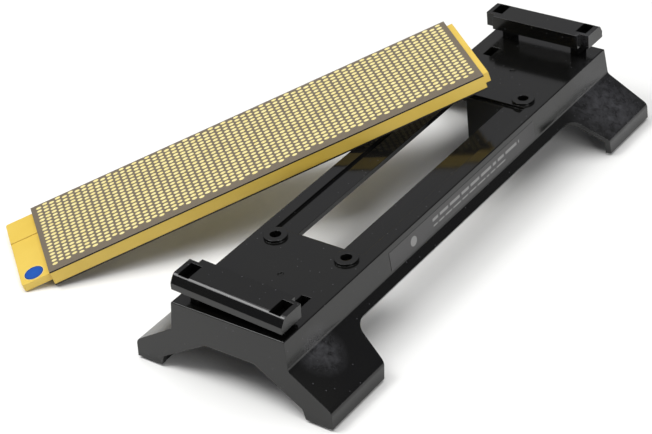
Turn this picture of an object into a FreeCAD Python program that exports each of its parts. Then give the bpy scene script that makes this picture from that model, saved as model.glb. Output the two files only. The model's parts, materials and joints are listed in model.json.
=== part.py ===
"""Bench stand for a two-sided diamond sharpening stone, with the stone leaning on it.

Frame, in millimetres: X along the stand (the near end is -X), Y to its left, Z up from the bench.
The origin is on the bench at the centre of the four feet.
"""
import math
import os

import FreeCAD, Part

V = FreeCAD.Vector
os.makedirs("parts", exist_ok=True)

# ---- moulded stand -------------------------------------------------------------------------
DECK_LENGTH = 309.0
DECK_WIDTH = 68.5
DECK_HEIGHT = 41.4
WALL = 3.0                # one wall thickness throughout the moulding
END_DRAFT = 3.3           # how far each foot reaches beyond the deck end
FOOT_SPREAD = 120.0       # across the feet
LEG_LENGTH = 43.6         # along the stand, at the sole
LEG_TAPER = 8.2           # how much longer the leg is where it meets the skirt
SHOULDER_DROP = 16.0      # deck top down to where the side wall turns into the slope
SHOULDER_FLARE = 1.4      # draft of the side wall over that drop
FOOT_UPRIGHT = 10.6       # vertical lower part of each foot
SKIRT_REACH = 5.7         # sloping flange between the legs, out from the deck side
EDGE_ROUND = 0.6
ARCH_ROUND = 1.2
SHOULDER_ROUND = 3.0
FOOT_ROUND = 4.0
LEG_ROUND = 9.0           # fillet between leg and skirt, in the slope's plane
ARCH_TOP = 22.5
ARCH_FLAT = 30.0          # width of the flat part of the arch
ARCH_FOOT = 6.6           # height at which the arch slope meets the foot
ARCH_FOOT_DRAFT = 2.0     # how far the foot's inner edge leans over that height
FOOT_SOLE = 15.2          # width of each sole
SOLE_LENGTH = 19.8        # along the stand, from the end wall's outer face
PAD_THICKNESS = 1.2
PAD_INSET = 1.2           # pad edge to sole edge

WINDOW_LENGTH = 153.0
WINDOW_WIDTH = 28.6
RECESS_MARGIN = 2.0       # recess end beyond the window end
RECESS_RIM = 7.25         # deck edge to recess
RECESS_DEPTH = 1.5
WEB_WIDTH = 19.6          # hanging web under each end of the window
WEB_BOTTOM = 10.0

BOSS_SPACING_X = 170.4
BOSS_SPACING_Y = 43.8
BOSS_RADIUS = 6.3
BOSS_PROUD = 1.4
BOSS_DROP = 8.0           # post below the deck top
SCREW_HOLE_RADIUS = 3.0
DIMPLE_RADIUS = 1.6
DIMPLE_DEPTH = 0.5
DIMPLE_X = 110.6

# ---- clip-on stone holders ------------------------------------------------------------------
HOLDER_DEPTH = 15.7
HOLDER_WIDTH = 66.6
HOLDER_THICKNESS = 8.3
HOLDER_GAP = 7.9          # clear height over the deck
HOLDER_SETBACK = 0.3      # outer face behind the deck end
HOLDER_FACET_DROP = 4.6   # bevel along the outer top edge: down the face
HOLDER_FACET_RUN = 2.6    # and back along the top
HOLDER_ROUND = 3.0        # between the bevel and the top
TONGUE_REACH = 2.9
TONGUE_WIDTH = 55.6
POCKET_LENGTH = 10.8
POCKET_WIDTH = 6.5
POCKET_DEPTH = 5.5
POCKET_FROM_END = 2.7
POCKET_FROM_FRONT = 1.9
LEG_SIZE_X = 8.8
LEG_SIZE_Y = 5.2
LEG_SPACING = 44.8
LEG_TO_END_WALL = 1.2     # peg to the inside of the stand's end wall
LEG_BELOW_DECK = 13.0
SLOT_CLEARANCE = 0.4      # each side of a peg
SOCKET_PITCH = 21.4       # from a peg inwards to the blind socket beside it
SOCKET_LENGTH = 10.0
SOCKET_WIDTH = 5.6
SOCKET_DEPTH = 16.0
SOCKET_WALL = 2.0
SETTLE_ANGLE = 3.3        # the near holder has gone down further on its right side

# ---- label strip ----------------------------------------------------------------------------
LABEL_LENGTH = 140.6
LABEL_CENTRE_X = 3.2
LABEL_BELOW_DECK = 3.6
LABEL_MARGIN = 0.2        # above the curve at the foot of the wall
LABEL_THICKNESS = 0.15

# ---- diamond stone --------------------------------------------------------------------------
PLATE_LENGTH = 254.0
PLATE_WIDTH = 66.7
PLATE_THICKNESS = 0.9
STONE_THICKNESS = 9.1
TAB_LENGTH = 16.3
TAB_WIDTH = 61.5
TAB_THICKNESS = 4.2
TAB_STEP = 0.5            # the tab's left side stands higher by this much
TAB_STEP_WIDTH = 20.0
LIP_LENGTH = 3.6
LIP_WIDTH = 60.0
LIP_THICKNESS = 5.8
STONE_CORNER = 1.5
BUTTON_RADIUS = 5.6
BUTTON_THICKNESS = 0.8
BUTTON_PROUD = 0.2
BUTTON_FROM_PLATE = 8.3
BUTTON_FROM_TAB_SIDE = 6.8
LEAN_YAW = -38.7          # heading of the stone's long axis
LEAN_CONTACT_X = -2.0     # where it crosses the deck edge
LEAN_CONTACT_ALONG = 172.0  # the same place, measured from the plate's low end
REST_GAP = 0.05           # stone over the deck's sharp edge line, before rounding
FLOOR_GAP = 0.2

HALF_L = DECK_LENGTH / 2
HALF_W = DECK_WIDTH / 2
RECESS_WIDTH = DECK_WIDTH - 2 * RECESS_RIM
ARCH_SLOPE_Y = FOOT_SPREAD / 2 - FOOT_SOLE
SOLE_X = HALF_L + END_DRAFT - SOLE_LENGTH
PEG_X = HALF_L - WALL - LEG_TO_END_WALL - LEG_SIZE_X / 2


def box(x0, x1, y0, y1, z0, z1):
    return Part.makeBox(x1 - x0, y1 - y0, z1 - z0, V(x0, y0, z0))


def centred(size_x, size_y, z0, z1, x=0.0, y=0.0):
    return box(x - size_x / 2, x + size_x / 2, y - size_y / 2, y + size_y / 2, z0, z1)


def fuse(shapes):
    whole = shapes[0].fuse(shapes[1:]) if len(shapes) > 1 else shapes[0]
    return whole.removeSplitter()


def four_ways(shape):
    """The shape and its mirror images across the XZ and YZ planes."""
    left = shape.mirror(V(), V(0, 1, 0))
    return [shape, left] + [s.mirror(V(), V(1, 0, 0)) for s in (shape, left)]


def inset(points, distance):
    """An open 2D polyline moved sideways by a distance, with mitred corners."""
    lines = []
    for (ax, ay), (bx, by) in zip(points, points[1:]):
        length = math.hypot(bx - ax, by - ay)
        nx, ny = -(by - ay) / length, (bx - ax) / length
        lines.append((ax - nx * distance, ay - ny * distance, bx - ax, by - ay))
    out = [(lines[0][0], lines[0][1])]
    for (ax, ay, ux, uy), (bx, by, vx, vy) in zip(lines, lines[1:]):
        t = ((bx - ax) * vy - (by - ay) * vx) / (ux * vy - uy * vx)
        out.append((ax + ux * t, ay + uy * t))
    ax, ay, ux, uy = lines[-1]
    return out + [(ax + ux, ay + uy)]


def rounded_wire(points, radii, place):
    """A closed wire through 2D points, with an arc of the given radius at each."""
    count, corners = len(points), []
    for i, radius in enumerate(radii):
        here = V(*points[i], 0)
        back = (V(*points[i - 1], 0) - here).normalize()
        ahead = (V(*points[(i + 1) % count], 0) - here).normalize()
        half = back.getAngle(ahead) / 2
        reach = radius / math.tan(half)
        middle = (back + ahead).normalize() if radius else V()
        apex = here + middle * (radius / math.sin(half) - radius)
        corners.append((here + back * reach, apex, here + ahead * reach, radius))
    edges = []
    for i, (start, apex, end, radius) in enumerate(corners):
        if radius:
            edges.append(Part.Arc(place(start), place(apex), place(end)).toShape())
        edges.append(Part.LineSegment(place(end), place(corners[(i + 1) % count][0])).toShape())
    return Part.Wire(edges)


def cross_section(inward):
    """Half outline of the stand in Y and Z, from the crown down to the sole."""
    return inset([(0.0, DECK_HEIGHT), (HALF_W, DECK_HEIGHT),
                  (HALF_W + SHOULDER_FLARE, DECK_HEIGHT - SHOULDER_DROP),
                  (FOOT_SPREAD / 2, FOOT_UPRIGHT), (FOOT_SPREAD / 2, 0.0)], inward)


def stand_bar(inward):
    """The stand's section swept along X, with its drafted ends."""
    half = cross_section(inward)
    half[-1] = (half[-1][0], -WALL if inward else PAD_THICKNESS)
    outline = half[1:] + [(-y, z) for y, z in reversed(half[1:])]
    crown = 0.0 if inward else EDGE_ROUND
    radii = [crown, SHOULDER_ROUND + inward, FOOT_ROUND - inward, 0]
    wire = rounded_wire(outline, radii + radii[::-1], lambda p: V(-HALF_L * 2, p.x, p.y))
    swept = Part.Face(wire).extrude(V(HALF_L * 4, 0, 0))
    foot_x = HALF_L + END_DRAFT * (1 + WALL / DECK_HEIGHT)
    ends = inset([(0.0, DECK_HEIGHT), (HALF_L, DECK_HEIGHT), (foot_x, -WALL)], inward)[1:]
    outline = ends + [(-x, z) for x, z in reversed(ends)]
    wire = rounded_wire(outline, [crown, 0, 0, crown], lambda p: V(p.x, -FOOT_SPREAD, p.y))
    return swept.common(Part.Face(wire).extrude(V(0, FOOT_SPREAD * 2, 0)))


def between_legs():
    """What is cut away outside the skirt, between the legs of the left side, square to the slope."""
    top_y, top_z = HALF_W + SHOULDER_FLARE, DECK_HEIGHT - SHOULDER_DROP
    slant = math.atan2(top_z - FOOT_UPRIGHT, FOOT_SPREAD / 2 - top_y)
    skirt_y = HALF_W + SKIRT_REACH
    skirt_z = top_z - (skirt_y - top_y) * math.tan(slant)
    down = V(0, math.cos(slant), -math.sin(slant))
    square = V(0, math.sin(slant), math.cos(slant)) * FOOT_SPREAD / 2
    run = (FOOT_SPREAD / 2 - skirt_y) * math.cos(slant) + skirt_z * math.sin(slant)
    sole_x = HALF_L + END_DRAFT - LEG_LENGTH
    skirt_x = sole_x - LEG_TAPER
    points = [(sole_x, run), (skirt_x, 0.0), (-skirt_x, 0.0), (-sole_x, run)]
    wire = rounded_wire(points, [0, LEG_ROUND, LEG_ROUND, 0],
                        lambda p: V(p.x, skirt_y, skirt_z) + down * p.y - square)
    return Part.Face(wire).extrude(square * 2)


def end_arch():
    """The opening under each end wall, cut right along the stand."""
    half = [(ARCH_FLAT / 2, ARCH_TOP), (ARCH_SLOPE_Y - ARCH_FOOT_DRAFT, ARCH_FOOT), (ARCH_SLOPE_Y, 0.0),
            (ARCH_SLOPE_Y, -WALL)]
    points = half + [(-y, z) for y, z in reversed(half)]
    radii = [ARCH_ROUND, ARCH_ROUND, 0, 0]
    wire = rounded_wire(points, radii + radii[::-1], lambda p: V(-HALF_L * 2, p.x, p.y))
    return Part.Face(wire).extrude(V(HALF_L * 4, 0, 0))


def soles():
    """The closed bottom of each foot, behind the end wall, which carries its pad."""
    block = box(SOLE_X, HALF_L + END_DRAFT, ARCH_SLOPE_Y, FOOT_SPREAD / 2,
                PAD_THICKNESS, PAD_THICKNESS + WALL)
    return four_ways(block)


def slot_centres():
    """Where the holder pegs go."""
    return [(sx * PEG_X, sy * LEG_SPACING / 2) for sx in (1, -1) for sy in (1, -1)]


def sockets(grow):
    """The two blind sockets, diagonally opposite, or their walls when grown."""
    return [centred(SOCKET_LENGTH + 2 * grow, SOCKET_WIDTH + 2 * grow,
                    DECK_HEIGHT - SOCKET_DEPTH - grow, DECK_HEIGHT - WALL + (0 if grow else 2 * WALL),
                    side * (PEG_X - SOCKET_PITCH), side * LEG_SPACING / 2) for side in (1, -1)]


def base_frame():
    outer = stand_bar(0.0)
    for side in (between_legs(), between_legs().mirror(V(), V(0, 1, 0))):
        outer = outer.cut(side)
    ceiling = DECK_HEIGHT - WALL
    plate_bottom = ceiling - RECESS_DEPTH + 0.3
    recess_length = WINDOW_LENGTH + 2 * RECESS_MARGIN
    hung = [centred(recess_length + 2 * WALL, RECESS_WIDTH + 2 * WALL, plate_bottom, ceiling)]
    for side in (1, -1):
        hung.append(centred(WALL, WEB_WIDTH, WEB_BOTTOM, ceiling,
                            x=side * (WINDOW_LENGTH + WALL) / 2))
    bosses = [(sx * BOSS_SPACING_X / 2, sy * BOSS_SPACING_Y / 2) for sx in (1, -1) for sy in (1, -1)]
    posts = [Part.makeCylinder(BOSS_RADIUS, BOSS_DROP + BOSS_PROUD,
                               V(x, y, DECK_HEIGHT - BOSS_DROP)) for x, y in bosses]
    shell = outer.cut(stand_bar(WALL)).cut(end_arch())
    floors = [outer.common(sole) for sole in soles()]
    shell = shell.cut(centred(recess_length, RECESS_WIDTH, DECK_HEIGHT - RECESS_DEPTH,
                              DECK_HEIGHT + WALL))
    frame = shell.fuse(hung + posts + floors + sockets(SOCKET_WALL))
    cuts = sockets(0.0) + [centred(WINDOW_LENGTH, WINDOW_WIDTH, 0, DECK_HEIGHT + WALL)]
    cuts += [Part.makeCylinder(SCREW_HOLE_RADIUS, DECK_HEIGHT, V(x, y, DECK_HEIGHT / 2))
             for x, y in bosses]
    cuts += [centred(LEG_SIZE_X + 2 * SLOT_CLEARANCE, LEG_SIZE_Y + 2 * SLOT_CLEARANCE,
                     ceiling - WALL, DECK_HEIGHT + WALL, x, y) for x, y in slot_centres()]
    cuts += [Part.makeCylinder(DIMPLE_RADIUS, WALL, V(side * DIMPLE_X, 0, DECK_HEIGHT - DIMPLE_DEPTH))
             for side in (1, -1)]
    return frame.cut(cuts).removeSplitter()


def foot_pads():
    """A thin non-slip pad under each sole."""
    pad = box(SOLE_X + PAD_INSET, HALF_L + END_DRAFT - WALL, ARCH_SLOPE_Y + PAD_INSET,
              FOOT_SPREAD / 2 - PAD_INSET, 0, PAD_THICKNESS)
    upright = [e for e in pad.Edges if abs(e.tangentAt(e.FirstParameter).z) > 0.9]
    pads = four_ways(pad.makeFillet(PAD_INSET, upright))
    names = ("far_left", "far_right", "near_left", "near_right")
    return {name + "_foot_pad": shape for name, shape in zip(names, pads)}


def far_holder():
    """The clip-on holder at +X: a bar with a tongue, two pockets and two pegs."""
    outer_x = HALF_L - HOLDER_SETBACK
    inner_x = outer_x - HOLDER_DEPTH
    low = DECK_HEIGHT + HOLDER_GAP
    high = low + HOLDER_THICKNESS
    section = [(inner_x, low), (outer_x, low), (outer_x, high - HOLDER_FACET_DROP),
               (outer_x - HOLDER_FACET_RUN, high), (inner_x, high)]
    wire = rounded_wire(section, [0, 0, 0, HOLDER_ROUND, 0], lambda p: V(p.x, -HOLDER_WIDTH / 2, p.y))
    bar = Part.Face(wire).extrude(V(0, HOLDER_WIDTH, 0))
    tongue = box(inner_x - TONGUE_REACH, inner_x, -TONGUE_WIDTH / 2, TONGUE_WIDTH / 2, low, high)
    pegs = [centred(LEG_SIZE_X, LEG_SIZE_Y, DECK_HEIGHT - LEG_BELOW_DECK, low, PEG_X, s * LEG_SPACING / 2)
            for s in (1, -1)]
    body = fuse([bar, tongue] + pegs)
    pocket_x = inner_x + POCKET_FROM_FRONT + POCKET_LENGTH / 2
    pocket_y = HOLDER_WIDTH / 2 - POCKET_FROM_END - POCKET_WIDTH / 2
    pockets = [centred(POCKET_LENGTH, POCKET_WIDTH, high - POCKET_DEPTH, high + WALL, pocket_x, s * pocket_y)
               for s in (1, -1)]
    return body.cut(pockets)


def near_holder():
    """The same holder turned to -X; its right side has settled further into the deck."""
    shape = far_holder()
    shape.rotate(V(), V(0, 0, 1), 180)
    drop = HOLDER_WIDTH / 2 * math.sin(math.radians(SETTLE_ANGLE))
    shape.rotate(V(0, 0, DECK_HEIGHT), V(1, 0, 0), SETTLE_ANGLE)
    shape.translate(V(0, 0, -drop))
    return shape


def side_label():
    """A printed strip lying on the right side wall."""
    slope = SHOULDER_FLARE / SHOULDER_DROP
    slant = math.atan2(FOOT_SPREAD / 2 - HALF_W - SHOULDER_FLARE, DECK_HEIGHT - SHOULDER_DROP - FOOT_UPRIGHT)
    curve = SHOULDER_ROUND * math.tan((slant - math.atan(slope)) / 2)
    z0 = DECK_HEIGHT - LABEL_BELOW_DECK
    z1 = DECK_HEIGHT - SHOULDER_DROP + curve + LABEL_MARGIN
    y0, y1 = (HALF_W + slope * (DECK_HEIGHT - z) for z in (z0, z1))
    x0 = LABEL_CENTRE_X - LABEL_LENGTH / 2
    corners = [(y0, z0), (y0 + LABEL_THICKNESS, z0), (y1 + LABEL_THICKNESS, z1), (y1, z1), (y0, z0)]
    wire = Part.makePolygon([V(x0, -y, z) for y, z in corners])
    return Part.Face(wire).extrude(V(LABEL_LENGTH, 0, 0))


def stone_placement():
    """The stone leans: both tab corners on the bench, its underside on the deck edge."""
    run = LEAN_CONTACT_ALONG + TAB_LENGTH
    tab_rise = (STONE_THICKNESS - TAB_THICKNESS) / 2
    rise = DECK_HEIGHT + REST_GAP - FLOOR_GAP
    pitch = math.asin(rise / math.hypot(run, tab_rise)) + math.atan2(tab_rise, run)
    turn = FreeCAD.Rotation(V(0, 0, 1), LEAN_YAW).multiply(
        FreeCAD.Rotation(V(0, 1, 0), -math.degrees(pitch)))
    contact = V(LEAN_CONTACT_ALONG, -PLATE_WIDTH, -STONE_THICKNESS)
    target = V(LEAN_CONTACT_X, HALF_W, DECK_HEIGHT + REST_GAP)
    return FreeCAD.Placement(target - turn.multVec(contact), turn)


def stone_parts():
    """The stone in its own frame: plate corner at the origin, X along it, top face at Z = 0."""
    core_top, core_low = -PLATE_THICKNESS, PLATE_THICKNESS - STONE_THICKNESS
    mid_y, mid_z = -PLATE_WIDTH / 2, -STONE_THICKNESS / 2
    tab_low, tab_high = mid_z - TAB_THICKNESS / 2, mid_z + TAB_THICKNESS / 2
    body = box(0, PLATE_LENGTH, -PLATE_WIDTH, 0, core_low, core_top)
    tab = box(-TAB_LENGTH, 0, mid_y - TAB_WIDTH / 2, mid_y + TAB_WIDTH / 2, tab_low, tab_high + TAB_STEP)
    corners = [e for e in tab.Edges if abs(e.tangentAt(e.FirstParameter).z) > 0.9
               and e.CenterOfMass.x < -TAB_LENGTH / 2]
    tab = tab.makeFillet(STONE_CORNER, corners)
    step_y = mid_y + TAB_WIDTH / 2 - TAB_STEP_WIDTH
    tab = tab.cut(box(-TAB_LENGTH, 0, -PLATE_WIDTH, step_y, tab_high, core_top))
    lip = box(PLATE_LENGTH, PLATE_LENGTH + LIP_LENGTH, mid_y - LIP_WIDTH / 2, mid_y + LIP_WIDTH / 2,
              mid_z - LIP_THICKNESS / 2, mid_z + LIP_THICKNESS / 2)
    button_y = mid_y - TAB_WIDTH / 2 + BUTTON_FROM_TAB_SIDE
    seat = BUTTON_THICKNESS - BUTTON_PROUD
    upper = Part.makeCylinder(BUTTON_RADIUS, BUTTON_THICKNESS, V(-BUTTON_FROM_PLATE, button_y, tab_high - seat))
    lower = Part.makeCylinder(BUTTON_RADIUS, BUTTON_THICKNESS,
                              V(-BUTTON_FROM_PLATE, button_y, tab_low - BUTTON_PROUD))
    core = fuse([body, tab, lip]).cut([upper, lower])
    plate = box(0, PLATE_LENGTH, -PLATE_WIDTH, 0, core_top, 0)
    under = plate.copy()
    under.translate(V(0, 0, -STONE_THICKNESS + PLATE_THICKNESS))
    return {"stone_core": core, "upper_diamond_plate": plate, "lower_diamond_plate": under,
            "upper_grit_button": upper, "lower_grit_button": lower}


def build():
    nodes = {"base_frame": base_frame(), "far_stone_holder": far_holder(),
             "near_stone_holder": near_holder(), "right_side_label": side_label()}
    nodes.update(foot_pads())
    place = stone_placement()
    for name, shape in stone_parts().items():
        shape.Placement = place.multiply(shape.Placement)
        nodes[name] = shape
    return nodes


for node_name, node_shape in build().items():
    node_shape.exportStep("parts/" + node_name + ".step")
    bounds = node_shape.BoundBox
    print("%-24s %s solids %d  x %.1f %.1f  y %.1f %.1f  z %.2f %.2f  volume %.0f" % (
        node_name, "valid" if node_shape.isValid() else "INVALID", len(node_shape.Solids),
        bounds.XMin, bounds.XMax, bounds.YMin, bounds.YMax, bounds.ZMin, bounds.ZMax, node_shape.Volume))
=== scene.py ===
# %% [markdown]
# Bench stand for a diamond sharpening stone, with the two-sided stone leaning on it. The CAD model
# already has every shape at its real size, so this script gives the pieces their finishes, adds the
# hundreds of small yellow spots in the abrasive plates, and sets up the light and the camera.

# %% Load the CAD frame
import json
import math
import bpy
from mathutils import Matrix, Vector


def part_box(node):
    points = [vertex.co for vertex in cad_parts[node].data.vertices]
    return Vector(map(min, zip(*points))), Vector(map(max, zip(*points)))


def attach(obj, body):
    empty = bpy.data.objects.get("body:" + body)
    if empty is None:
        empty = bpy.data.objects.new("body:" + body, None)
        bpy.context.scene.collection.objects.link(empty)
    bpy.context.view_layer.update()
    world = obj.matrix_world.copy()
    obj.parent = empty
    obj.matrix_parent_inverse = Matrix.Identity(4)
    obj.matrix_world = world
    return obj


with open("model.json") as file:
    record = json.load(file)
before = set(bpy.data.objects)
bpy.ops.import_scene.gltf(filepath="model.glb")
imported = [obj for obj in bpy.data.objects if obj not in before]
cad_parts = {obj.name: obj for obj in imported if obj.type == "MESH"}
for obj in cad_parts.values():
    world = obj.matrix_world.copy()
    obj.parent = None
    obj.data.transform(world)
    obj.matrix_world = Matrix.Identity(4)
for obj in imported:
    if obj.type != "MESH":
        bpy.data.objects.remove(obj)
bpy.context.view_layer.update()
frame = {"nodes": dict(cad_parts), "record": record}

nodes = frame["nodes"]
MM = 0.001
print("pieces from CAD:", len(nodes))

# %% [markdown]
# Colours are picked as sRGB hex, the way a paint program shows them, but a shader works in linear
# light. One function turns one into the other, so each colour can be written in the familiar form.


# %% Colour helper
def srgb(code):
    """A hex colour as linear red, green, blue and alpha."""
    parts = [int(code[i:i + 2], 16) / 255 for i in (1, 3, 5)]
    return tuple(c / 12.92 if c <= 0.04045 else ((c + 0.055) / 1.055) ** 2.4 for c in parts) + (1.0,)


print("mid grey in linear light:", round(srgb("#808080")[0], 3))

# %% [markdown]
# Shader trees and geometry trees are both built from nodes. This helper adds any node, sets its
# options, and then either links each named input or gives it a value. A new material starts as a
# Principled shader with the numbers that are the same all over the piece.


# %% Node helpers
def add(tree, kind, inputs=None, **options):
    """One node with its options set and its inputs linked or given a value."""
    made = tree.nodes.new(kind)
    for name, value in options.items():
        setattr(made, name, value)
    for socket, value in (inputs or {}).items():
        if isinstance(value, bpy.types.NodeSocket):
            tree.links.new(value, made.inputs[socket])
        else:
            made.inputs[socket].default_value = value
    return made


def new_material(name, colour, roughness, metallic=0.0, ior=1.5):
    """A Principled material, its node tree, and the shader node."""
    material = bpy.data.materials.new(name)
    material.use_nodes = True
    tree = material.node_tree
    shader = tree.nodes["Principled BSDF"]
    shader.inputs["Base Color"].default_value = srgb(colour)
    shader.inputs["Roughness"].default_value = roughness
    shader.inputs["Metallic"].default_value = metallic
    shader.inputs["IOR"].default_value = ior
    return material, tree, shader


finishes = {}
print("helpers ready")

# %% [markdown]
# The stand and the two holders are ABS, injection moulded in a polished steel mould. That gives a
# deep black with a clear gloss, a very faint ripple called orange peel, and slightly softened edges
# that catch the light. Handling leaves dull grey rubbed patches on the sloping legs and specks of
# dust, so both are masks laid over the black: a patch fades out from a centre and is broken up by
# noise, and a speck is the middle of a Voronoi cell.

# %% Black ABS
ORANGE_PEEL = 1.6 * MM      # width of one ripple
DUST_SPACING = 4.5 * MM     # one speck in each cell of this size
RUB_GRAIN = 4.5 * MM        # size of the streaks in a rubbed patch
EDGE_SOFTENING = 0.35 * MM
GLOSS, RUBBED = 0.13, 0.6   # roughness where clean, and where fully rubbed
DIRT_STRENGTH = 0.5         # how far the rubbed grey covers the black


def rubbed_patches(tree, place, patches):
    """A mask that is 1 inside any of the patches, given as (centre, radius)."""
    mask = None
    for centre, radius in patches:
        away = add(tree, "ShaderNodeVectorMath", {0: place, 1: centre}, operation="DISTANCE")
        fade = add(tree, "ShaderNodeMapRange", {"Value": away.outputs["Value"], "From Min": radius * 0.25,
                                                "From Max": radius, "To Min": 1.0, "To Max": 0.0})
        mask = fade.outputs[0] if mask is None else add(
            tree, "ShaderNodeMath", {0: mask, 1: fade.outputs[0]}, operation="MAXIMUM").outputs[0]
    return mask


def black_abs(name, patches):
    material, tree, shader = new_material(name, "#0B0B0C", GLOSS, ior=1.46)
    place = add(tree, "ShaderNodeTexCoord").outputs["Object"]
    flow = add(tree, "ShaderNodeTexNoise", {"Vector": place, "Scale": 1 / (40 * MM), "Detail": 3.0})
    tone = add(tree, "ShaderNodeMix", {0: flow.outputs[0], 6: srgb("#08080A"), 7: srgb("#11110E")},
               data_type="RGBA")
    grain = add(tree, "ShaderNodeTexNoise", {"Vector": place, "Scale": 1 / RUB_GRAIN, "Detail": 8.0,
                                             "Roughness": 0.7, "Distortion": 0.35})
    worn = add(tree, "ShaderNodeMapRange", {"Value": grain.outputs[0], "From Min": 0.3, "From Max": 0.95})
    rub = add(tree, "ShaderNodeMath", {0: worn.outputs[0], 1: rubbed_patches(tree, place, patches)},
              operation="MULTIPLY")
    cell = add(tree, "ShaderNodeTexVoronoi", {"Vector": place, "Scale": 1 / DUST_SPACING})
    speck = add(tree, "ShaderNodeMapRange", {"Value": cell.outputs["Distance"], "From Min": 0.05,
                                             "From Max": 0.09, "To Min": 0.55, "To Max": 0.0})
    dirt = add(tree, "ShaderNodeMath", {0: rub.outputs[0], 1: speck.outputs[0]}, operation="MAXIMUM")
    dirt = add(tree, "ShaderNodeMath", {0: dirt.outputs[0], 1: DIRT_STRENGTH}, operation="MULTIPLY")
    colour = add(tree, "ShaderNodeMix", {0: dirt.outputs[0], 6: tone.outputs[2], 7: srgb("#75757A")},
                 data_type="RGBA")
    dull = add(tree, "ShaderNodeMapRange", {"Value": dirt.outputs[0], "To Min": GLOSS, "To Max": RUBBED})
    ripple = add(tree, "ShaderNodeTexNoise", {"Vector": place, "Scale": 1 / ORANGE_PEEL, "Detail": 1.0})
    edge = add(tree, "ShaderNodeBevel", {"Radius": EDGE_SOFTENING}, samples=6)
    bump = add(tree, "ShaderNodeBump", {"Height": ripple.outputs[0], "Strength": 0.12,
                                        "Distance": 0.03 * MM, "Normal": edge.outputs[0]})
    tree.links.new(colour.outputs[2], shader.inputs["Base Color"])
    tree.links.new(dull.outputs[0], shader.inputs["Roughness"])
    tree.links.new(bump.outputs[0], shader.inputs["Normal"])
    return material


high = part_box("base_frame")[1]
leg_x, leg_y, leg_z = high.x - 24 * MM, high.y - 14 * MM, 18 * MM
leg_patches = [((-leg_x, 7 * MM - leg_y, leg_z + 6 * MM), 15 * MM),
               ((leg_x, -leg_y, leg_z), 32 * MM),
               ((-leg_x, leg_y, leg_z), 16 * MM),
               ((leg_x, leg_y, leg_z), 20 * MM)]
finishes["black_moulding"] = black_abs("black ABS, polished mould", leg_patches)
holder_low, holder_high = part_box("far_stone_holder")
finishes["holder_moulding"] = black_abs(
    "black ABS, polished mould, holders", [((holder_low.x, holder_low.y, holder_high.z), 9 * MM)])
print("rubbed patches on the legs:", len(leg_patches))

# %% [markdown]
# The pads under the feet are moulded rubber, matt and a little uneven. They show only from low down.

# %% Rubber pads
material, tree, shader = new_material("black rubber, moulded", "#1A1A1A", 0.85)
place = add(tree, "ShaderNodeTexCoord").outputs["Object"]
pores = add(tree, "ShaderNodeTexNoise", {"Vector": place, "Scale": 1 / (0.8 * MM), "Detail": 3.0})
bump = add(tree, "ShaderNodeBump", {"Height": pores.outputs[0], "Strength": 0.4, "Distance": 0.1 * MM})
tree.links.new(bump.outputs[0], shader.inputs["Normal"])
finishes["pad_rubber"] = material
print("rubber:", material.name)

# %% [markdown]
# The strip on the right wall is a printed vinyl film, satin where the wall is glossy, so it shows as
# a paler band. The real print is lettering and a mark, which are not copied. Plain bars in two rows
# stand in for the words: Voronoi cells along one line give bars of uneven length, and limits on X and
# Z keep them in their rows. A plain disc stands in for the mark.

# %% Printed film
strip_low, strip_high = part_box("right_side_label")
strip_middle = (strip_low.z + strip_high.z) / 2
BAR_ROWS = ((1.6, 1.7, 58, 9), (-1.8, 0.9, 44, 7))  # height of middle, height, end and pitch, in mm
ROWS_START = -28 * MM
DISC_X, DISC_RADIUS = -46 * MM, 2.8 * MM
INK_STRENGTH = 0.5


def bar_row(tree, spread, middle, height, start, end, pitch):
    """A mask of one row of bars, from X and Z in metres."""
    across = add(tree, "ShaderNodeMath", {0: spread.outputs["Z"], 1: middle, 2: height / 2},
                 operation="COMPARE")
    along = add(tree, "ShaderNodeMath", {0: spread.outputs["X"], 1: (start + end) / 2,
                                         2: (end - start) / 2}, operation="COMPARE")
    cell = add(tree, "ShaderNodeTexVoronoi", {"W": spread.outputs["X"], "Scale": 1 / pitch},
               voronoi_dimensions="1D", feature="DISTANCE_TO_EDGE")
    bar = add(tree, "ShaderNodeMath", {0: cell.outputs["Distance"], 1: 0.1}, operation="GREATER_THAN")
    inside = add(tree, "ShaderNodeMath", {0: across.outputs[0], 1: along.outputs[0]}, operation="MULTIPLY")
    return add(tree, "ShaderNodeMath", {0: inside.outputs[0], 1: bar.outputs[0]}, operation="MULTIPLY")


material, tree, shader = new_material("printed vinyl film, satin", "#2E2D2E", 0.34)
place = add(tree, "ShaderNodeTexCoord").outputs["Object"]
spread = add(tree, "ShaderNodeSeparateXYZ", {0: place})
upper_row, lower_row = (
    bar_row(tree, spread, strip_middle + middle * MM, height * MM, ROWS_START, end * MM, pitch * MM)
    for middle, height, end, pitch in BAR_ROWS)
rows = add(tree, "ShaderNodeMath", {0: upper_row.outputs[0], 1: lower_row.outputs[0]},
           operation="MAXIMUM")
disc_away = add(tree, "ShaderNodeVectorMath", {0: place, 1: (DISC_X, strip_low.y, strip_middle)},
                operation="DISTANCE")
disc = add(tree, "ShaderNodeMath", {0: disc_away.outputs["Value"], 1: DISC_RADIUS},
           operation="LESS_THAN")
print_mask = add(tree, "ShaderNodeMath", {0: rows.outputs[0], 1: disc.outputs[0]}, operation="MAXIMUM")
ink = add(tree, "ShaderNodeMath", {0: print_mask.outputs[0], 1: INK_STRENGTH}, operation="MULTIPLY")
colour = add(tree, "ShaderNodeMix", {0: ink.outputs[0], 6: srgb("#343334"), 7: srgb("#A8A8A6")},
             data_type="RGBA")
tree.links.new(colour.outputs[2], shader.inputs["Base Color"])
finishes["label_film"] = material
print("strip is", round((strip_high.x - strip_low.x) / MM, 1), "mm long")

# %% [markdown]
# The core of the stone is yellow glass-filled nylon, injection moulded with a satin surface. It has
# slightly softened edges, and its colour drifts a little where the melt flowed.

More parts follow.
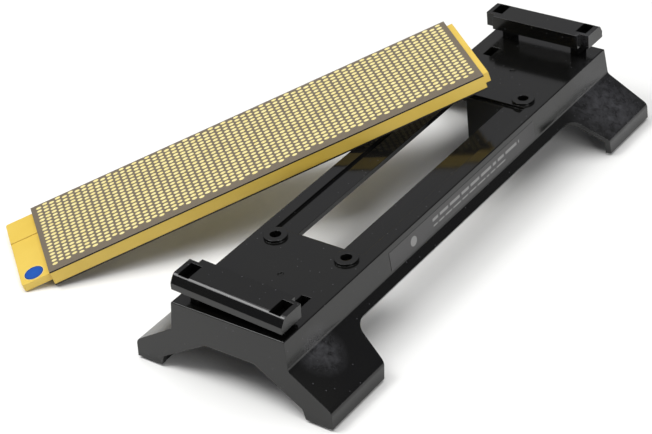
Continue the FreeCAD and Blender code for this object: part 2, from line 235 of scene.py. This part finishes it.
# %% Yellow core
material, tree, shader = new_material("yellow nylon, moulded satin", "#DDBF58", 0.42, ior=1.53)
place = add(tree, "ShaderNodeTexCoord").outputs["Object"]
flow = add(tree, "ShaderNodeTexNoise", {"Vector": place, "Scale": 1 / (25 * MM), "Detail": 4.0})
colour = add(tree, "ShaderNodeMix", {0: flow.outputs[0], 6: srgb("#D6B340"), 7: srgb("#E4C65C")},
             data_type="RGBA")
skin = add(tree, "ShaderNodeTexNoise", {"Vector": place, "Scale": 1 / (0.7 * MM), "Detail": 2.0})
edge = add(tree, "ShaderNodeBevel", {"Radius": 0.4 * MM}, samples=6)
bump = add(tree, "ShaderNodeBump", {"Height": skin.outputs[0], "Strength": 0.15,
                                    "Distance": 0.04 * MM, "Normal": edge.outputs[0]})
tree.links.new(colour.outputs[2], shader.inputs["Base Color"])
tree.links.new(bump.outputs[0], shader.inputs["Normal"])
finishes["yellow_core"] = material
print("core:", material.name)

# %% [markdown]
# Everything on the leaning stone follows the plate's own directions, so they are measured from the
# plate's mesh. A plate is a plain slab: from any corner, the nearest corner is across its thickness,
# and the corners one width and one length away give the other two directions.


# %% Directions of a plate
def slab_frame(node, outward):
    """The slab's low left corner on its outward face, three directions, and its length and width."""
    corners = list({tuple(round(x, 5) for x in v.co): v.co.copy() for v in node.data.vertices}.values())
    lowest = min(corners, key=lambda corner: corner.z)
    steps = sorted((c - lowest for c in corners if c is not lowest), key=lambda step: step.length)
    thin = steps[0].normalized()
    wide = min(steps[1:3], key=lambda step: abs(step.dot(thin)))
    long = min(steps[3:5], key=lambda step: abs(step.dot(thin)))
    along = long.normalized() * math.copysign(1, long.z)
    up = along.cross(wide).normalized()
    up *= math.copysign(1, up.z)
    right = along.cross(up)
    start, side = (min(c.dot(line) for c in corners) for line in (along, right))
    face = outward * max(outward * c.dot(up) for c in corners)
    return up * face + along * start + right * side, along, right, up * outward, long.length, wide.length


upper = slab_frame(nodes["upper_diamond_plate"], 1)
lower = slab_frame(nodes["lower_diamond_plate"], -1)
print("plate:", [round(size / MM, 1) for size in upper[4:]], "mm")

# %% [markdown]
# Each abrasive plate is thin perforated steel, nickel plated with diamond grit held in the nickel.
# It looks warm grey and only half metallic, because the grit scatters the light. Real grit is about
# 45 micrometres, too fine to show, so it is drawn 0.45 mm wide. The plate's side faces, those square
# to its upward direction, are coloured nearly black.

# %% Diamond plate
GRIT = 0.45 * MM
material, tree, shader = new_material("nickel-bonded diamond on steel", "#786E5F", 0.5, metallic=0.35)
coords = add(tree, "ShaderNodeTexCoord")
grit = add(tree, "ShaderNodeTexNoise", {"Vector": coords.outputs["Object"], "Scale": 1 / GRIT,
                                        "Detail": 2.0})
colour = add(tree, "ShaderNodeMix", {0: grit.outputs[0], 6: srgb("#6C6253"), 7: srgb("#857A69")},
             data_type="RGBA")
facing = add(tree, "ShaderNodeVectorMath", {0: coords.outputs["Normal"], 1: upper[3]},
             operation="DOT_PRODUCT")
flat = add(tree, "ShaderNodeMath", {0: facing.outputs["Value"]}, operation="ABSOLUTE")
cut_edge = add(tree, "ShaderNodeMath", {0: flat.outputs[0], 1: 0.5}, operation="LESS_THAN")
colour = add(tree, "ShaderNodeMix", {0: cut_edge.outputs[0], 6: colour.outputs[2], 7: srgb("#17120F")},
             data_type="RGBA")
bump = add(tree, "ShaderNodeBump", {"Height": grit.outputs[0], "Strength": 0.5, "Distance": 0.05 * MM})
tree.links.new(colour.outputs[2], shader.inputs["Base Color"])
tree.links.new(bump.outputs[0], shader.inputs["Normal"])
finishes["diamond_plate"] = material
print("grit drawn", GRIT / MM, "mm wide")

# %% [markdown]
# The round buttons show the grit by their colour. They are glossy blue ABS with a darker rim, pressed
# into the tab, and a thin pale line shows at the edge. Rings are simplest as bands of the distance
# from the button's centre.

# %% Grit button
button_low, button_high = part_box("upper_grit_button")
button_centre = (button_low + button_high) / 2
BUTTON_RADIUS = 5.6 * MM
material, tree, shader = new_material("blue ABS, glossy", "#1F57AE", 0.25)
place = add(tree, "ShaderNodeTexCoord").outputs["Object"]
away = add(tree, "ShaderNodeVectorMath", {0: place, 1: button_centre}, operation="DISTANCE")
reach = add(tree, "ShaderNodeMath", {0: away.outputs["Value"], 1: 2 * BUTTON_RADIUS},
            operation="DIVIDE")
rings = add(tree, "ShaderNodeValToRGB", {0: reach.outputs[0]})
bands = [(0.0, "#1F57AE"), (0.44, "#1B4FA4"), (0.452, "#0E2450"), (0.478, "#0E2450"),
         (0.488, "#EFE6BC")]  # the rim of the button is at 0.5
while len(rings.color_ramp.elements) < len(bands):
    rings.color_ramp.elements.new(0.5)
for stop, (position, code) in zip(rings.color_ramp.elements, bands):
    stop.position, stop.color = position, srgb(code)
tree.links.new(rings.outputs[0], shader.inputs["Base Color"])
finishes["grit_button"] = material
print("rings on the button:", len(bands))

# %% [markdown]
# Each CAD piece now takes the finish of its slot. The piece keeps its mesh, and only its material
# changes.

# %% Finishes onto the CAD pieces
for part in frame["record"]["subparts"]:
    piece = nodes[part["node"]]
    piece.data.materials.clear()
    piece.data.materials.append(finishes[part["material_slot"]])

# %% [markdown]
# The plate's holes are filled level by the yellow core, and this gives each face about twelve hundred
# pale spots. They stand in columns, each shifted half a pitch from the next. Geometry Nodes suit
# this: a grid gives the points, every other column is moved, and one small slab with rounded ends is
# placed on each. The spots vary a little in size, from a fixed seed. The tree ends by making the
# copies real and giving them their material, because the export keeps only real meshes.

# %% Spots: sizes and material
SPOTS = {"Columns": 64, "Rows": 19, "Pitch Along": 3.89 * MM, "Pitch Across": 3.2 * MM,
         "Spot Length": 3.15 * MM, "Spot Width": 2.1 * MM, "Spot Height": 0.3 * MM, "Seed": 7}
FIRST_COLUMN = 4.5 * MM     # from the low end of the plate
FIRST_ROW = 1.9 * MM        # from its left side
SPOT_PROUD = 0.04 * MM      # how far a spot stands out of the plate
SPOT_VARIES = (0.93, 1.05)  # smallest and largest, against the mean size
spot_material, tree, shader = new_material("yellow nylon, rubbed pale", "#EADFA6", 0.5)
place = add(tree, "ShaderNodeTexCoord").outputs["Object"]
wear = add(tree, "ShaderNodeTexNoise", {"Vector": place, "Scale": 1 / (3 * MM), "Detail": 2.0})
colour = add(tree, "ShaderNodeMix", {0: wear.outputs[0], 6: srgb("#E0CC76"), 7: srgb("#F0E6AE")},
             data_type="RGBA")
tree.links.new(colour.outputs[2], shader.inputs["Base Color"])
print("spots on each face:", SPOTS["Columns"] * SPOTS["Rows"])

# %% Spots: the node tree
spots_tree = bpy.data.node_groups.new("spots in a perforated plate", "GeometryNodeTree")
for name, value in SPOTS.items():
    kind = "NodeSocketInt" if isinstance(value, int) else "NodeSocketFloat"
    spots_tree.interface.new_socket(name=name, in_out="INPUT", socket_type=kind)
spots_tree.interface.new_socket(name="Material", in_out="INPUT", socket_type="NodeSocketMaterial")
spots_tree.interface.new_socket(name="Geometry", in_out="OUTPUT", socket_type="NodeSocketGeometry")
size = add(spots_tree, "NodeGroupInput").outputs


def reckon(operation, *values):
    return add(spots_tree, "ShaderNodeMath", dict(enumerate(values)), operation=operation).outputs[0]


span = [reckon("MULTIPLY", reckon("SUBTRACT", size[count], 1.0), size[pitch])
        for count, pitch in (("Columns", "Pitch Along"), ("Rows", "Pitch Across"))]
grid = add(spots_tree, "GeometryNodeMeshGrid", {"Size X": span[0], "Size Y": span[1],
                                                "Vertices X": size["Columns"], "Vertices Y": size["Rows"]})
position = add(spots_tree, "GeometryNodeInputPosition")
point = add(spots_tree, "ShaderNodeSeparateXYZ", {0: position.outputs[0]})
along = reckon("ADD", point.outputs["X"], reckon("MULTIPLY", span[0], 0.5))
column = reckon("ROUND", reckon("DIVIDE", along, size["Pitch Along"]))
even = reckon("SUBTRACT", 1.0, reckon("MODULO", column, 2.0))
stagger = reckon("MULTIPLY", even, reckon("MULTIPLY", size["Pitch Across"], 0.5))
shift = add(spots_tree, "ShaderNodeCombineXYZ", {
    "X": reckon("MULTIPLY", span[0], 0.5),
    "Y": reckon("ADD", reckon("MULTIPLY", span[1], 0.5), stagger)})
points = add(spots_tree, "GeometryNodeSetPosition", {"Geometry": grid.outputs["Mesh"],
                                                     "Offset": shift.outputs[0]})
spot = add(spots_tree, "GeometryNodeMeshCylinder", {"Vertices": 12, "Radius": 0.5, "Depth": 1.0})
shape = add(spots_tree, "ShaderNodeCombineXYZ", {"X": size["Spot Length"], "Y": size["Spot Width"],
                                                 "Z": size["Spot Height"]})
spot = add(spots_tree, "GeometryNodeTransform", {"Geometry": spot.outputs["Mesh"],
                                                 "Scale": shape.outputs[0]})
vary = add(spots_tree, "FunctionNodeRandomValue", {2: SPOT_VARIES[0], 3: SPOT_VARIES[1], "Seed": size["Seed"]})
copies = add(spots_tree, "GeometryNodeInstanceOnPoints", {
    "Points": points.outputs[0], "Instance": spot.outputs[0], "Scale": vary.outputs[1]})
real = add(spots_tree, "GeometryNodeRealizeInstances", {0: copies.outputs[0]})
coloured = add(spots_tree, "GeometryNodeSetMaterial", {"Geometry": real.outputs[0],
                                                       "Material": size["Material"]})
add(spots_tree, "NodeGroupOutput", {"Geometry": coloured.outputs[0]})
print("nodes in the tree:", len(spots_tree.nodes))


# %% [markdown]
# The tree runs once for each plate. Its result is copied into a plain mesh, which is then laid onto
# the plate with the directions measured above, so that the object itself stays at the origin. Both
# sets of spots ride on the stone.


# %% Spots: one mesh for each plate
def spots_on(name, plate):
    corner, forward, right, outward = plate[:4]
    maker = bpy.data.objects.new(name + " maker", bpy.data.meshes.new(name + " start"))
    bpy.context.scene.collection.objects.link(maker)
    modifier = maker.modifiers.new("spots", "NODES")
    modifier.node_group = spots_tree
    for item in spots_tree.interface.items_tree:
        if item.in_out == "INPUT":
            modifier[item.identifier] = spot_material if item.name == "Material" else SPOTS[item.name]
    ready = maker.evaluated_get(bpy.context.evaluated_depsgraph_get())
    mesh = bpy.data.meshes.new_from_object(ready)
    bpy.data.objects.remove(maker)
    start = corner + forward * FIRST_COLUMN + right * FIRST_ROW
    start += outward * (SPOT_PROUD - SPOTS["Spot Height"] / 2)
    lay = Matrix((forward, right, forward.cross(right))).transposed().to_4x4()
    mesh.transform(Matrix.Translation(start) @ lay)
    piece = bpy.data.objects.new(name, mesh)
    bpy.context.scene.collection.objects.link(piece)
    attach(piece, "stone")
    return piece


for name, plate in (("upper_spots", upper), ("lower_spots", lower)):
    piece = spots_on(name, plate)
    print(name, len(piece.data.polygons), "faces")

# %% [markdown]
# The floor is a plain pale table. The light is a studio's: one very large soft box overhead, a
# smaller one to the left that puts a thin bright line along the rounded edges, one low on the right
# for the stone's side, and a dim panel that the deck mirrors as a soft sheen. The room around them is
# dim, because glossy black plastic shows whatever surrounds it.

# %% Floor and light
FLOOR_HALF = 1.6            # metres
FLOOR_DROP = 0.3 * MM       # just below the pads, so that the two never share a surface
floor_mesh = bpy.data.meshes.new("floor")
corners = [(x * FLOOR_HALF, y * FLOOR_HALF, -FLOOR_DROP)
           for x, y in ((-1, -1), (1, -1), (1, 1), (-1, 1))]
floor_mesh.from_pydata(corners, [], [(0, 1, 2, 3)])
floor = bpy.data.objects.new("floor", floor_mesh)
bpy.context.scene.collection.objects.link(floor)
floor_mesh.materials.append(new_material("matt white table", "#F4F4F2", 0.9)[0])
world = bpy.data.worlds.new("room")
bpy.context.scene.world = world
world.use_nodes = True
world.node_tree.nodes["Background"].inputs[0].default_value = (0.15, 0.15, 0.16, 1)
bpy.context.scene.view_settings.view_transform = "Standard"


def soft_box(name, place, width, watts):
    light = bpy.data.lights.new(name, "AREA")
    light.size, light.energy = width, watts
    lamp = bpy.data.objects.new(name, light)
    lamp.location = place
    lamp.rotation_euler = Vector(place).to_track_quat("Z", "Y").to_euler()
    bpy.context.scene.collection.objects.link(lamp)


soft_box("overhead box", (0.0, 0.0, 1.8), 2.0, 28)
soft_box("left box", (-0.45, 0.62, 1.05), 0.6, 8)
soft_box("right box", (-0.3, -1.1, 0.4), 0.6, 5.5)
soft_box("dim back panel", (1.02, 0.8, 0.92), 1.0, 0.9)
print("floor is", 2 * FLOOR_HALF, "m wide")

# %% [markdown]
# The camera is a long lens about a metre away, looking down on the near right corner. It is set by
# the direction it looks from, a small roll, its distance, and the point on the table it is aimed at.

# %% Camera
AZIMUTH, ELEVATION, ROLL = -50.88, 33.62, -6.66
DISTANCE = 1.0699
AIM = Vector((-0.01087, 0.04837, 0.0))
LENS, SENSOR = 107.67, 36.0
turn, rise, roll = (math.radians(angle) for angle in (AZIMUTH, ELEVATION, ROLL))
back = Vector((math.sin(turn) * math.cos(rise), -math.cos(turn) * math.cos(rise), math.sin(rise)))
level = Vector((0, 0, 1)).cross(back).normalized()
upward = back.cross(level)
side = math.cos(roll) * level + math.sin(roll) * upward
crown = math.cos(roll) * upward - math.sin(roll) * level
camera = bpy.data.objects.new("camera", bpy.data.cameras.new("camera"))
bpy.context.scene.collection.objects.link(camera)
turned = Matrix((side, crown, back)).transposed().to_4x4()
camera.matrix_world = Matrix.Translation(AIM + back * DISTANCE) @ turned
camera.data.sensor_width, camera.data.lens = SENSOR, LENS
camera.data.clip_start, camera.data.clip_end = 0.05, 20
bpy.context.scene.camera = camera
print("camera at", [round(x, 3) for x in camera.matrix_world.translation])
